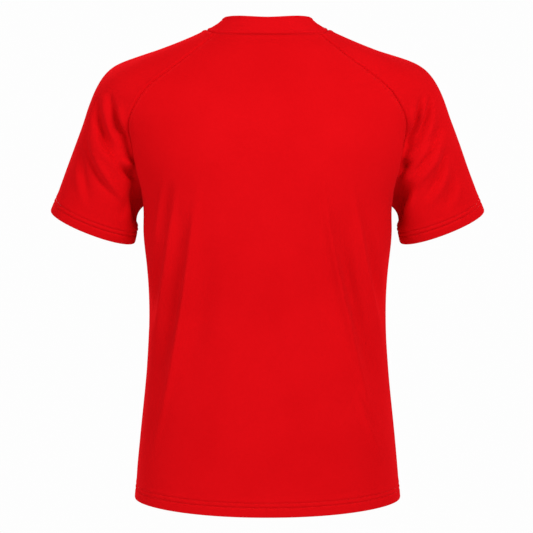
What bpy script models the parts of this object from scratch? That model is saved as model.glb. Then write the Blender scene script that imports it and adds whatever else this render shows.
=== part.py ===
"""A short-sleeved raglan football jersey, filled out as it is worn, with nobody in it.

Five cut pieces, each a thin wall of cloth and a named object: back, front, two raglan sleeves and a
stand collar. The shape is a loft through two short tables. TORSO gives level slices of the body, and
SLEEVE gives slanting slices of the sleeve, from the neck over the shoulder to the cuff. Neighbouring
pieces are lofted through the same seam points and then drawn back from the seam by half a gap each.

Metres. +Z is up, -Y is the wearer's front and +X the wearer's left. The origin lies midway between
the tops of the two shoulders, close beside the neck, where the wearer's shoulders carry the jersey.
"""

import math
from collections import namedtuple

import bpy
import numpy as np

# Driving dimensions
CLOTH_WALL = 0.0012  # one layer of knitted cloth
DOUBLE_WALL = 0.0022  # the same cloth turned up at a hem, or folded into the collar band
# Gaps at the outer face. The walls lean together inwards, which leaves about 0.3 mm at the inner one.
NECK_GAP = 0.0004
RAGLAN_GAP = 0.0009
SIDE_GAP = 0.0008
HEM_DEPTH = 0.020  # of the turned-up hem, at the body and at the cuffs
HEM_HEIGHT = -0.6975  # of the hem at the side seams
UNDERARM_HEIGHT = -0.2514
COLLAR_WIDTH = 0.0285  # from the neck seam to the folded top edge

# How far the middle of a row of cloth hangs below its two ends
NECK_DIP = {"back": 0.0030, "front": 0.063}
HEM_DROP = {"back": 0.007, "front": 0.003}
HEM_DROP_REACH = 0.25  # the drop dies out this far above the hem

# Counts of cells
PANEL_COLUMNS = 20
BODY_ROWS = 17  # from the hem's stitch line to the underarm
RAGLAN_ROWS = 14  # from the underarm to the neck
ARC_COLUMNS = 8  # from a raglan seam to the sleeve's outer line
TUBE_ROWS = 2  # from the underarm to the cuff's stitch line
COLLAR_ROWS = 3

RED = (0.72, 0.006, 0.012, 1.0)
RED_RIB = (0.70, 0.006, 0.012, 1.0)

# Level slices. Each half is a superellipse: |x / half_width|^n + |y / depth|^n = 1, n = squareness.
# Above the underarm half_width runs on past the raglan seam, and only the stretch inside it is cloth.
Slice = namedtuple("Slice", "height half_width back front squareness")
TORSO = (
    Slice(-0.710, 0.2000, 0.1200, 0.1180, 2.20),
    Slice(-0.600, 0.1905, 0.1160, 0.1150, 2.25),
    Slice(-0.500, 0.1805, 0.1110, 0.1140, 2.30),
    Slice(-0.420, 0.1770, 0.1090, 0.1150, 2.35),
    Slice(-0.340, 0.1813, 0.1135, 0.1200, 2.40),
    Slice(-0.295, 0.1853, 0.1165, 0.1230, 2.40),
    Slice(-0.251, 0.1868, 0.1190, 0.1250, 2.40),
    Slice(-0.190, 0.2125, 0.1180, 0.1210, 2.40),
    Slice(-0.145, 0.2325, 0.1125, 0.1120, 2.40),
    Slice(-0.107, 0.2490, 0.1035, 0.0995, 2.40),
    Slice(-0.075, 0.2480, 0.0905, 0.0850, 2.40),
    Slice(-0.045, 0.2100, 0.0745, 0.0660, 2.30),
    Slice(-0.020, 0.1440, 0.0600, 0.0450, 2.20),
    Slice(-0.004, 0.1030, 0.0480, 0.0300, 2.10),
)

# Slanting slices: where the raglan seams cross the slice at the back and front, and the sleeve's
# outermost point. turn says how far the cloth leaves the body's own surface at the seam, from 0, in
# line with it, to 1, straight back along the arm. From the underarm down both seams are one line.
Cut = namedtuple("Cut", "back_x back_z front_x front_z outer_x outer_y outer_z turn fullness")
SLEEVE = (
    Cut(0.0765, -0.0054, 0.0810, -0.0215, 0.0905, 0.0000, 0.0020, 0.00, 0.37),
    Cut(0.1235, -0.0446, 0.1200, -0.0520, 0.1380, 0.0000, -0.0190, 0.00, 0.42),
    Cut(0.1755, -0.0863, 0.1620, -0.0890, 0.2000, 0.0000, -0.0405, 0.00, 0.43),
    Cut(0.1905, -0.1069, 0.1760, -0.1090, 0.2345, 0.0000, -0.0575, 0.00, 0.44),
    Cut(0.1995, -0.1250, 0.1860, -0.1280, 0.2535, -0.0010, -0.0815, 0.05, 0.46),
    Cut(0.2050, -0.1667, 0.1945, -0.1680, 0.2725, -0.0030, -0.1280, 0.30, 0.50),
    Cut(0.1948, -0.2193, 0.1920, -0.2193, 0.2885, -0.0060, -0.1720, 0.75, 0.50),
    Cut(0.1868, UNDERARM_HEIGHT, 0.1868, UNDERARM_HEIGHT, 0.3015, -0.0090, -0.2070, 1.00, 0.57),
    Cut(0.1990, -0.3150, 0.1990, -0.3150, 0.3255, -0.0160, -0.2670, 1.00, 0.52),
)
UNDERARM_CUT = 7  # the row of SLEEVE at the underarm
ARM_SLOPE = 0.21  # how much a sleeve slice falls towards the back, because the arm hangs forward

# The collar band leans in from upright by this many degrees, by the angle round the neck from the back.
Lean = namedtuple("Lean", "bearing degrees")
COLLAR_LEAN = (Lean(0, 10), Lean(45, 23), Lean(75, 50), Lean(105, 60), Lean(140, 48), Lean(180, 36))
COLLAR_EASING = 8  # rounds of averaging that even out the band's lean along the ring
NECK_CENTRE_Y = -0.012
COLLAR_BULGE = 0.0015

# The largest folds: soft ridges that run down the sides of the body.
Fold = namedtuple("Fold", "top_x top_z low_x low_z height half_width")
BODY_FOLDS = (
    Fold(0.085, -0.230, 0.150, -0.600, 0.0030, 0.013),
    Fold(0.124, -0.230, 0.176, -0.470, 0.0030, 0.011),
)
# The same on a sleeve: across is 0 at the raglan seam and 1 at the outer line, and down is 0 at the
# neck and 1 at the underarm.
SleeveFold = namedtuple("SleeveFold", "top_across top_down low_across low_down height half_width")
SLEEVE_FOLDS = (
    SleeveFold(0.80, 0.55, 0.15, 0.98, 0.0030, 0.09),
    SleeveFold(0.45, 0.45, 0.10, 0.80, 0.0025, 0.08),
)


def column(rows, name):
    return np.array([getattr(row, name) for row in rows], float)


def spline(xs, ys, at):
    """The natural cubic spline through (xs, ys), read at each value of at."""
    xs, ys, at = (np.asarray(v, float) for v in (xs, ys, at))
    step = np.diff(xs)
    slope = np.diff(ys) / step
    system, right = np.eye(len(xs)), np.zeros(len(xs))
    for i in range(1, len(xs) - 1):
        system[i, i - 1 : i + 2] = step[i - 1], 2 * (step[i - 1] + step[i]), step[i]
        right[i] = 6 * (slope[i] - slope[i - 1])
    bend = np.linalg.solve(system, right)
    i = np.clip(np.searchsorted(xs, at) - 1, 0, len(xs) - 2)
    before, after, h = xs[i + 1] - at, at - xs[i], step[i]
    curved = (before**3 * bend[i] + after**3 * bend[i + 1]) / (6 * h)
    straight = (ys[i] / h - h * bend[i] / 6) * before
    return curved + straight + (ys[i + 1] / h - h * bend[i + 1] / 6) * after


def smoothstep(value):
    value = np.clip(value, 0, 1)
    return value * value * (3 - 2 * value)


def unit(vectors):
    return vectors / np.linalg.norm(vectors, axis=-1, keepdims=True)


def soft_ridge(across, down, fold_from, fold_to, height, half_width):
    """A ridge of bell-shaped section along a straight line, dying out at its two ends."""
    line = np.subtract(fold_to, fold_from)
    away_x, away_z = across - fold_from[0], down - fold_from[1]
    share = (away_x * line[0] + away_z * line[1]) / (line @ line)
    off = (away_x * line[1] - away_z * line[0]) / np.linalg.norm(line)
    ends = np.where((share > 0) & (share < 1), np.sin(np.pi * np.clip(share, 0, 1)), 0)
    return height * ends * np.exp(-((off / half_width) ** 2))


def torso_depth(face, x, z):
    """y of the body's surface at x and z, at the back or the front, without its folds."""
    height = column(TORSO, "height")
    half_width = spline(height, column(TORSO, "half_width"), z)
    depth = spline(height, column(TORSO, face), z)
    n = spline(height, column(TORSO, "squareness"), z)
    inside = np.clip(1 - np.abs(x / half_width) ** n, 0, None) ** (1 / n)
    return depth * inside * (1 if face == "back" else -1)


def torso_normal(face, x, z):
    """The outward normal of that surface, from its slopes."""
    nudge = 0.0005
    slope_x = (torso_depth(face, x + nudge, z) - torso_depth(face, x - nudge, z)) / (2 * nudge)
    slope_z = (torso_depth(face, x, z + nudge) - torso_depth(face, x, z - nudge)) / (2 * nudge)
    outward = 1 if face == "back" else -1
    return outward * unit(np.stack([-slope_x, np.ones_like(slope_x), -slope_z], axis=-1))


def sleeve_cuts():
    """SLEEVE read at each row of the sleeve's grid, by the length of its outer line."""
    outer = np.stack([column(SLEEVE, f"outer_{k}") for k in "xyz"], axis=1)
    length = np.concatenate([[0], np.cumsum(np.linalg.norm(np.diff(outer, axis=0), axis=1))])
    underarm, cuff = length[UNDERARM_CUT], length[-1]
    raglan = np.linspace(0, underarm, RAGLAN_ROWS + 1)
    tube = np.linspace(underarm, cuff - HEM_DEPTH, TUBE_ROWS + 1)[1:]
    at = np.concatenate([raglan, tube, [cuff]])
    cuts = Cut(*(spline(length, column(SLEEVE, name), at) for name in Cut._fields))
    return cuts, at / underarm


def seam_points(face, cuts):
    """The raglan seam at the back or front, then the underarm line down to the cuff."""
    x, z = getattr(cuts, f"{face}_x"), getattr(cuts, f"{face}_z")
    y = torso_depth(face, x, z)
    share = np.clip((UNDERARM_HEIGHT - z) / (UNDERARM_HEIGHT - z[-1]), 0, 1)
    y[RAGLAN_ROWS:] = cuts.outer_y[-1] * share[RAGLAN_ROWS:]
    return np.stack([x, y, z], axis=1)


def sleeve_half(face, cuts, down):
    """Rows of points from a raglan seam to the outer line. Each row is a cubic curve: it leaves the
    seam in the body's tangent plane, turned back along the arm by turn, and meets the outer line
    square to it."""
    start = seam_points(face, cuts)
    end = np.stack([cuts.outer_x, cuts.outer_y, cuts.outer_z], axis=1)
    outward = 1 if face == "back" else -1
    back = unit(np.array([0.0, outward, -outward * ARM_SLOPE]))
    backs = np.stack([back] * len(start)) * smoothstep(down / 0.6)[:, None]
    backs += np.array([0.0, outward, 0.0]) * (1 - smoothstep(down / 0.6))[:, None]
    raglan = slice(0, RAGLAN_ROWS)
    normal = torso_normal(face, start[raglan, 0], start[raglan, 2])
    chord = end[raglan] - start[raglan]
    along = unit(chord - (chord * normal).sum(1)[:, None] * normal)
    climb = 2 * NECK_DIP[face] / start[0, 0]  # of the panel's neckline where the sleeve takes over
    rise = -(normal[:, 0] + climb * normal[:, 2]) / normal[:, 1]
    neckline = unit(np.stack([1 + 0 * rise, rise, climb + 0 * rise], axis=1))
    by_neck = 1 - smoothstep(down[raglan] / 0.2)[:, None]
    leaving = backs.copy()
    turn = cuts.turn[raglan, None]
    in_plane = unit(neckline * by_neck + along * (1 - by_neck))
    leaving[raglan] = unit(in_plane * (1 - turn) + backs[raglan] * turn)
    reach = (cuts.fullness * np.linalg.norm(end - start, axis=1))[:, None]
    u = np.linspace(0, 1, ARC_COLUMNS + 1)[None, :, None]
    near, far = start + reach * leaving, end + reach * backs
    curve = [start, near, far, end]
    weight = [(1 - u) ** 3, 3 * u * (1 - u) ** 2, 3 * u**2 * (1 - u), u**3]
    points = sum(w * c[:, None, :] for w, c in zip(weight, curve))
    across, height = np.broadcast_arrays(u[0, :, 0][None, :], down[:, None])
    lift = sum(
        soft_ridge(across, height, fold[0:2], fold[2:4], fold.height, fold.half_width)
        for fold in SLEEVE_FOLDS
    )
    points[..., 1] += outward * lift
    return points


def sleeve_grid():
    """Rows from the neck to the cuff, columns from the back seam over the outer line to the front."""
    cuts, down = sleeve_cuts()
    back, front = sleeve_half("back", cuts, down), sleeve_half("front", cuts, down)
    return np.concatenate([back, front[:, -2::-1]], axis=1)


def panel_grid(face, sleeve):
    """Rows from the hem to the neck and columns from the wearer's right seam to the left. Above the
    underarm each row ends on the sleeve's own seam points."""
    seam = sleeve[RAGLAN_ROWS::-1, 0 if face == "back" else -1]
    levels = np.linspace(HEM_HEIGHT + HEM_DEPTH, UNDERARM_HEIGHT, BODY_ROWS + 1)[:-1]
    levels = np.concatenate([[HEM_HEIGHT], levels])
    sides = spline(column(TORSO, "height"), column(TORSO, "half_width"), levels)
    end_x = np.concatenate([sides, seam[:, 0]])
    end_z = np.concatenate([levels, seam[:, 2]])
    above = np.clip(np.arange(len(end_x)) - len(levels), 0, None) / RAGLAN_ROWS
    neck_dip = NECK_DIP[face] * above**2
    near_hem = np.clip(1 - (end_z - HEM_HEIGHT) / HEM_DROP_REACH, 0, 1) ** 2
    spread = np.radians(90 - 40 * above)[:, None]  # crowds the columns where the side turns away
    u = np.linspace(-1, 1, PANEL_COLUMNS + 1)[None, :]
    x = end_x[:, None] * np.sin(spread * u) / np.sin(spread)
    sag = 1 - (x / end_x[:, None]) ** 2
    z = end_z[:, None] - (neck_dip + HEM_DROP[face] * near_hem)[:, None] * sag
    y = torso_depth(face, x, z)
    y[:, [0, -1]] = np.concatenate([0 * levels, seam[:, 1]])[:, None]
    for fold in BODY_FOLDS:
        lift = soft_ridge(np.abs(x), z, fold[0:2], fold[2:4], fold.height, fold.half_width)
        y += lift * (1 if face == "back" else -1)
    return np.stack([x, y, z], axis=-1)


def neck_ring(back, sleeve, front):
    """The neck seam as one closed ring, from the middle of the back towards the wearer's left."""
    half = PANEL_COLUMNS // 2
    left = sleeve[0]
    ring = [back[-1, half:], left[1:-1], front[-1, :half:-1]]
    one_side = np.concatenate(ring)
    middle_front = front[-1, half][None, :]
    other_side = one_side[:0:-1] * (-1, 1, 1)
    return np.concatenate([one_side, middle_front, other_side])


def collar_grid(ring):
    """The neck ring carried up and inwards, with a slight bulge half way."""
    bearing = np.degrees(np.arctan2(np.abs(ring[:, 0]), ring[:, 1] - NECK_CENTRE_Y))
    lean = np.radians(spline(column(COLLAR_LEAN, "bearing"), column(COLLAR_LEAN, "degrees"), bearing))
    along = unit(np.roll(ring, -1, axis=0) - np.roll(ring, 1, axis=0))
    inward = unit(np.stack([along[:, 1], -along[:, 0], 0 * lean], axis=1))
    upright = np.cross(inward, along)
    rise = inward * np.sin(lean)[:, None] + upright * np.cos(lean)[:, None]
    for _ in range(COLLAR_EASING):
        rise = (np.roll(rise, 1, axis=0) + 2 * rise + np.roll(rise, -1, axis=0)) / 4
    rise = unit(rise)
    out = unit(np.cross(rise, along))
    share = np.linspace(0, 1, COLLAR_ROWS + 1)[:, None, None]
    return ring + rise * COLLAR_WIDTH * share + out * COLLAR_BULGE * np.sin(np.pi * share)


def draw_back(grid, sides, distance):
    """Moves the named sides of a grid of points inwards by a small distance along the cloth."""
    edge = {"first_row": (0, 1), "last_row": (-1, -2)}
    for name in set(sides) & set(edge):
        at, beside = edge[name]
        grid[at] += distance * unit(grid[beside] - grid[at])
    edge = {"first_column": (0, 1), "last_column": (-1, -2)}
    for name in set(sides) & set(edge):
        at, beside = edge[name]
        grid[:, at] += distance * unit(grid[:, beside] - grid[:, at])
    return grid


def cloth_material(name, colour):
    material = bpy.data.materials.new(name)
    material.use_nodes = True
    shader = material.node_tree.nodes["Principled BSDF"]
    shader.inputs["Base Color"].default_value = colour
    shader.inputs["Roughness"].default_value = 0.75
    shader.inputs["Metallic"].default_value = 0.0
    return material


def cloth_wall(name, points, index, material, double_rows, doubled=DOUBLE_WALL):
    """An object from a grid of points, whose index array may name a point twice where the cloth
    closes on itself. Solidify gives the wall, thicker on the double rows."""
    flat = points.reshape(-1, 3)
    rows, columns = index.shape[0] - 1, index.shape[1] - 1
    faces = []
    for r in range(rows):
        for c in range(columns):
            corners = index[r, c], index[r, c + 1], index[r + 1, c + 1], index[r + 1, c]
            faces.append([int(i) for i in corners])
    used = sorted({i for face in faces for i in face})
    renumbered = {old: new for new, old in enumerate(used)}
    faces = [[renumbered[i] for i in face] for face in faces]
    mesh = bpy.data.meshes.new(name)
    mesh.from_pydata([tuple(flat[i]) for i in used], [], faces)
    mesh.shade_smooth()
    mesh.materials.append(material)
    cloth = bpy.data.objects.new(name, mesh)
    jersey.objects.link(cloth)
    group = cloth.vertex_groups.new(name="double")
    group.add([renumbered[int(i)] for r in double_rows for i in set(index[r])], 1.0, "REPLACE")
    wall = cloth.modifiers.new("wall", "SOLIDIFY")
    wall.thickness = doubled
    wall.offset = -1
    wall.vertex_group = "double"
    wall.thickness_vertex_group = CLOTH_WALL / doubled
    return cloth


def make_panel(name, face, grid, material):
    grid = draw_back(grid.copy(), ["last_row"], NECK_GAP / 2)
    ends = ["first_column", "last_column"]
    grid[BODY_ROWS + 1 :] = draw_back(grid[BODY_ROWS + 1 :], ends, RAGLAN_GAP / 2)
    grid[: BODY_ROWS + 1] = draw_back(grid[: BODY_ROWS + 1], ends, SIDE_GAP / 2)
    if face == "front":
        grid = grid[:, ::-1]
    index = np.arange(grid.shape[0] * grid.shape[1]).reshape(grid.shape[:2])
    return cloth_wall(name, grid, index[:, ::-1], material, double_rows=(0, 1))


def make_sleeve(name, side, grid, material):
    grid = draw_back(grid.copy(), ["first_row"], NECK_GAP / 2)
    ends = ["first_column", "last_column"]
    grid[:RAGLAN_ROWS] = draw_back(grid[:RAGLAN_ROWS], ends, RAGLAN_GAP / 2)
    grid[RAGLAN_ROWS:, 0] += RAGLAN_GAP * unit(grid[-1, 0] - grid[RAGLAN_ROWS, 0])
    index = np.arange(grid.shape[0] * grid.shape[1]).reshape(grid.shape[:2])
    index[RAGLAN_ROWS:, -1] = index[RAGLAN_ROWS:, 0]  # the underarm seam closes the tube
    if side < 0:
        grid[..., 0] *= -1
        index = index[:, ::-1]
    return cloth_wall(name, grid, index, material, double_rows=(-2, -1))


def make_collar(name, grid, material):
    grid = draw_back(grid.copy(), ["first_row"], NECK_GAP / 2)
    rows, columns = grid.shape[:2]
    index = np.arange(rows * columns).reshape(rows, columns)
    index = np.concatenate([index, index[:, :1]], axis=1)
    return cloth_wall(name, grid, index[:, ::-1], material, double_rows=range(rows))


def clear_scene():
    for thing in list(bpy.data.objects):
        bpy.data.objects.remove(thing)


clear_scene()
jersey = bpy.data.collections.new("football_jersey")
bpy.context.scene.collection.children.link(jersey)
knit = cloth_material("red_knit", RED)
band = cloth_material("red_collar_band", RED_RIB)

sleeve_points = sleeve_grid()
back_points = panel_grid("back", sleeve_points)
front_points = panel_grid("front", sleeve_points)
make_panel("back_panel", "back", back_points, knit)
make_panel("front_panel", "front", front_points, knit)
make_sleeve("sleeve_left", 1, sleeve_points, knit)
make_sleeve("sleeve_right", -1, sleeve_points, knit)
make_collar("collar", collar_grid(neck_ring(back_points, sleeve_points, front_points)), band)
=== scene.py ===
# %% [markdown]
# # A football jersey, filled out as it is worn
#
# The real thing is a light polyester shirt. Six cuts of knitted cloth are sewn edge to edge: a back,
# a front, two raglan sleeves that run all the way up to the neck, and a folded band for the collar.
# Nobody is in it, so this lesson makes only cloth: thin walls that stand where a body would hold them.
#
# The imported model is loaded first. It fixes the place and size of every piece, in metres, with +Z up,
# the wearer's front towards -Y and the wearer's left towards +X.

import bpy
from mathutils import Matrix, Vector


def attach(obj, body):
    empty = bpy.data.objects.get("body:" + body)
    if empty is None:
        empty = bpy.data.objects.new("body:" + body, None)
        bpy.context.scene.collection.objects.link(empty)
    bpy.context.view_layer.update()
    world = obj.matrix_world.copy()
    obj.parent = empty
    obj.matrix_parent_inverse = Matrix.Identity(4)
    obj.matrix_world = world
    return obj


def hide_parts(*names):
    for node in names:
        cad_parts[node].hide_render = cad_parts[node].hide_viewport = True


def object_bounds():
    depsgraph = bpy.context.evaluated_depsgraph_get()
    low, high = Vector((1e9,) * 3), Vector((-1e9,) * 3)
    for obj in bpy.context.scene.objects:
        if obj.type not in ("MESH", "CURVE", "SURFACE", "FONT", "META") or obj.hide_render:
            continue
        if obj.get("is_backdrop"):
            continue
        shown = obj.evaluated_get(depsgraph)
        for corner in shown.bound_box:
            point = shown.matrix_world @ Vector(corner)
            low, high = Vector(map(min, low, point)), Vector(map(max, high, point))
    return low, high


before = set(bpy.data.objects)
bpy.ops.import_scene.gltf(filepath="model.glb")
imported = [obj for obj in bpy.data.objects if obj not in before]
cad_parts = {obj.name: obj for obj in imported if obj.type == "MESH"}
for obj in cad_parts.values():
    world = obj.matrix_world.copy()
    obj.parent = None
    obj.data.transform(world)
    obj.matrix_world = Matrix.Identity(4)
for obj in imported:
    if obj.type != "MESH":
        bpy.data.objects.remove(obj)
cad_box = [list(corner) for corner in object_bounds()]

import math

import bpy
import numpy as np

print("pieces to dress:", sorted(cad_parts))
print("box in mm:", [[round(1000 * v) for v in corner] for corner in cad_box])

# %% [markdown]
# ## The camera, the light and the floor
#
# A shirt is best judged from straight behind at chest height, through a long lens that hardly bends
# its proportions. The camera stands 2.5 m away and looks a little down, and the rest of the framing is
# a small lens shift, because tilting alone would make the hem look wider than it is.

# %% The camera
def add_object(name, data):
    """A new object in the scene."""
    made = bpy.data.objects.new(name, data)
    bpy.context.collection.objects.link(made)
    return made


CAMERA_DISTANCE = 2.5
CAMERA_HEIGHT = -0.178
MIDDLE_Y = -0.009  # the plane through the middle of the shirt
SEEN_WIDTH = 0.7995  # of that plane
SENSOR_MM = 36.0
AIM_DOWN = 3.97  # degrees, from the camera to the middle of the view
PITCH = 2.5  # degrees of it by tilting, and the rest by shift
SIDE_SHIFT = -0.001876  # of the view's width, to centre the shirt
CLIP_END = 60

eye = bpy.data.cameras.new("studio_camera")
eye.sensor_width = SENSOR_MM
eye.lens = SENSOR_MM * (CAMERA_DISTANCE - MIDDLE_Y) / SEEN_WIDTH
eye.shift_x = SIDE_SHIFT
eye.shift_y = -math.tan(math.radians(AIM_DOWN - PITCH)) * CAMERA_DISTANCE / SEEN_WIDTH
eye.clip_end = CLIP_END
camera = add_object("studio_camera", eye)
camera.location = (0, CAMERA_DISTANCE, CAMERA_HEIGHT)
camera.rotation_euler = (math.radians(90 - PITCH), 0, math.radians(180))
bpy.context.scene.camera = camera
print(f"lens {eye.lens:.1f} mm, shift {eye.shift_y:.3f}")

# %% [markdown]
# Soft light shows cloth: a large lamp has no hard shadow edge, so a fold reads as a slow change of
# tone. One lamp is the stronger, above the camera's right shoulder. A weaker one fills the other side,
# and two more stand in front for whoever walks round. The pale surroundings give everything else.

# %% The lamps and the sky
LAMPS = {  # where it stands, what it looks at, the side of its square, watts
    "key": ((-1.35, 1.95, 1.20), (0, 0, -0.30), 1.0, 61.0),
    "fill": ((1.90, 1.70, 0.45), (0, 0, -0.35), 1.3, 31.0),
    "front_key": ((1.35, -1.95, 1.20), (0, 0, -0.30), 1.0, 61.0),
    "front_fill": ((-1.90, -1.70, 0.45), (0, 0, -0.35), 1.3, 31.0),
}
SKY_SEEN = 0.985
SKY_LIGHT = 0.25
SKY_TINT = (1.0, 0.99, 0.985, 1)


def aim(thing, place, target):
    """Stands a lamp at a place, with its -Z axis turned to the target."""
    thing.location = place
    direction = np.subtract(target, place)
    level = math.hypot(direction[0], direction[1])
    tilt = math.atan2(level, -direction[2])
    thing.rotation_euler = (tilt, 0, math.atan2(-direction[0], direction[1]))


for name, (place, target, side, watts) in LAMPS.items():
    lamp = bpy.data.lights.new(name, "AREA")
    lamp.shape = "SQUARE"
    lamp.size = side
    lamp.energy = watts
    aim(add_object(name, lamp), place, target)

world = bpy.data.worlds.new("pale_room")
world.use_nodes = True
bpy.context.scene.world = world
sky = world.node_tree
sky.nodes["Background"].inputs["Color"].default_value = SKY_TINT
sky.nodes["Background"].inputs["Strength"].default_value = SKY_LIGHT
seen = sky.nodes.new("ShaderNodeBackground")
seen.inputs["Color"].default_value = (SKY_SEEN, SKY_SEEN, SKY_SEEN, 1)
path = sky.nodes.new("ShaderNodeLightPath")
either = sky.nodes.new("ShaderNodeMixShader")
sky.links.new(path.outputs["Is Camera Ray"], either.inputs["Fac"])
sky.links.new(sky.nodes["Background"].outputs[0], either.inputs[1])
sky.links.new(seen.outputs[0], either.inputs[2])
sky.links.new(either.outputs[0], sky.nodes["World Output"].inputs["Surface"])
bpy.context.scene.view_settings.view_transform = "Standard"
print(len(LAMPS), "lamps, and a sky of", SKY_LIGHT)

# %% [markdown]
# Shader nodes are easier to read as short lines of arithmetic. `calc` adds one Math node and returns
# its output, so a formula is written from the inside out, as on paper.


# %% Helpers for materials
def new_material(name):
    """An empty node material. Returns the material, its node tree and its Principled shader."""
    material = bpy.data.materials.new(name)
    material.use_nodes = True
    tree = material.node_tree
    return material, tree, tree.nodes["Principled BSDF"]


def feed(tree, socket, value):
    """Gives a socket a number, or the output of another node."""
    if isinstance(value, bpy.types.NodeSocket):
        tree.links.new(value, socket)
    else:
        socket.default_value = value


def calc(tree, operation, *values):
    """One Math node: the result of the operation on one to three numbers or outputs."""
    node = tree.nodes.new("ShaderNodeMath")
    node.operation = operation
    for socket, value in zip(node.inputs, values):
        feed(tree, socket, value)
    return node.outputs[0]


def noise(tree, where, scale, detail=2.0, roughness=0.5):
    """A Noise Texture's grey output, from 0 to 1 and mostly near 0.5."""
    node = tree.nodes.new("ShaderNodeTexNoise")
    tree.links.new(where, node.inputs["Vector"])
    node.inputs["Scale"].default_value = scale
    node.inputs["Detail"].default_value = detail
    node.inputs["Roughness"].default_value = roughness
    return node.outputs["Fac"]


def blend(tree, share, first, second):
    """A Mix node between two colours."""
    node = tree.nodes.new("ShaderNodeMix")
    node.data_type = "RGBA"
    feed(tree, node.inputs["Factor"], share)
    feed(tree, node.inputs["A"], first)
    feed(tree, node.inputs["B"], second)
    return node.outputs["Result"]


def add_bump(tree, shader, height, strength, distance):
    """A Bump node from a height to the shader's normal."""
    bump = tree.nodes.new("ShaderNodeBump")
    bump.inputs["Strength"].default_value = strength
    bump.inputs["Distance"].default_value = distance
    tree.links.new(height, bump.inputs["Height"])
    tree.links.new(bump.outputs[0], shader.inputs["Normal"])


# %% The floor
FLOOR_HEIGHT = -1.45
FLOOR_RADIUS = 3.0
FLOOR_SIDES = 96
FADE_ROUNDING = 0.1
FADE_POWER = 3.0  # keeps the middle plain and melts the rim

paint, tree, shader = new_material("pale_floor")
shader.inputs["Base Color"].default_value = (0.86, 0.86, 0.85, 1)
shader.inputs["Roughness"].default_value = 0.9
spot = tree.nodes.new("ShaderNodeTexCoord").outputs["Object"]
spread = tree.nodes.new("ShaderNodeVectorMath")
spread.operation = "LENGTH"
tree.links.new(spot, spread.inputs[0])
share = calc(tree, "DIVIDE", spread.outputs["Value"], FLOOR_RADIUS)
fade = calc(tree, "SMOOTH_MIN", share, 1.0, FADE_ROUNDING)
glow = tree.nodes.new("ShaderNodeEmission")
glow.inputs["Color"].default_value = (SKY_SEEN, SKY_SEEN, SKY_SEEN, 1)
melt = tree.nodes.new("ShaderNodeMixShader")
tree.links.new(calc(tree, "POWER", fade, FADE_POWER), melt.inputs["Fac"])
tree.links.new(shader.outputs[0], melt.inputs[1])
tree.links.new(glow.outputs[0], melt.inputs[2])
tree.links.new(melt.outputs[0], tree.nodes["Material Output"].inputs["Surface"])

turn = np.linspace(0, 2 * np.pi, FLOOR_SIDES, endpoint=False)
circle = FLOOR_RADIUS * np.stack([np.cos(turn), np.sin(turn), 0 * turn], axis=1)
disc = bpy.data.meshes.new("floor")
disc.from_pydata(circle.tolist(), [], [list(range(FLOOR_SIDES))])
disc.materials.append(paint)
floor = add_object("floor", disc)
floor.location = (0, 0, FLOOR_HEIGHT)
floor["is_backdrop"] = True
print("a floor", 2 * FLOOR_RADIUS, "m across that runs out into the room's white")

# %% [markdown]
# ## The form that the cloth lies on
#
# A filled shirt is a loft: slices of the torso from hem to neck, and slanting slices of each sleeve
# from the neck to the cuff. Sculpting would do it too, but two tables of slices keep both halves of
# every seam on the same line, because the panel and the sleeve read the same seam out of one table.

# %% The tables of slices
HEM_HEIGHT = -0.6975
HEM_DROP = {"back": 0.007, "front": 0.003}  # how far the middle of the hem hangs below its ends
HEM_DROP_REACH = 0.25
NECK_DIP = {"back": 0.0030, "front": 0.063}
UNDERARM_HEIGHT = -0.2514

# height, half width, depth at the back, depth at the front, squareness of the slice
TORSO = np.array(
    [
        (-0.710, 0.2000, 0.1200, 0.1180, 2.20),
        (-0.600, 0.1905, 0.1160, 0.1150, 2.25),
        (-0.500, 0.1805, 0.1110, 0.1140, 2.30),
        (-0.420, 0.1770, 0.1090, 0.1150, 2.35),
        (-0.340, 0.1813, 0.1135, 0.1200, 2.40),
        (-0.295, 0.1853, 0.1165, 0.1230, 2.40),
        (-0.251, 0.1868, 0.1190, 0.1250, 2.40),
        (-0.190, 0.2125, 0.1180, 0.1210, 2.40),
        (-0.145, 0.2325, 0.1125, 0.1120, 2.40),
        (-0.107, 0.2490, 0.1035, 0.0995, 2.40),
        (-0.075, 0.2480, 0.0905, 0.0850, 2.40),
        (-0.045, 0.2100, 0.0745, 0.0660, 2.30),
        (-0.020, 0.1440, 0.0600, 0.0450, 2.20),
        (-0.004, 0.1030, 0.0480, 0.0300, 2.10),
    ]
)

# the raglan seam at the back (x, z) and front (x, z), the outermost point (x, y, z), how far the
# cloth turns away from the body at the seam, and how full the slice is
SLEEVE_NAMES = "back_x back_z front_x front_z outer_x outer_y outer_z turn fullness".split()
SLEEVE = np.array(
    [
        (0.0765, -0.0054, 0.0810, -0.0215, 0.0905, 0.0000, 0.0020, 0.00, 0.37),
        (0.1235, -0.0446, 0.1200, -0.0520, 0.1380, 0.0000, -0.0190, 0.00, 0.42),
        (0.1755, -0.0863, 0.1620, -0.0890, 0.2000, 0.0000, -0.0405, 0.00, 0.43),
        (0.1905, -0.1069, 0.1760, -0.1090, 0.2345, 0.0000, -0.0575, 0.00, 0.44),
        (0.1995, -0.1250, 0.1860, -0.1280, 0.2535, -0.0010, -0.0815, 0.05, 0.46),
        (0.2050, -0.1667, 0.1945, -0.1680, 0.2725, -0.0030, -0.1280, 0.30, 0.50),
        (0.1948, -0.2193, 0.1920, -0.2193, 0.2885, -0.0060, -0.1720, 0.75, 0.50),
        (0.1868, UNDERARM_HEIGHT, 0.1868, UNDERARM_HEIGHT, 0.3015, -0.0090, -0.2070, 1.00, 0.57),
        (0.1990, -0.3150, 0.1990, -0.3150, 0.3255, -0.0160, -0.2670, 1.00, 0.52),
    ]
)
UNDERARM_CUT = 7
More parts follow.
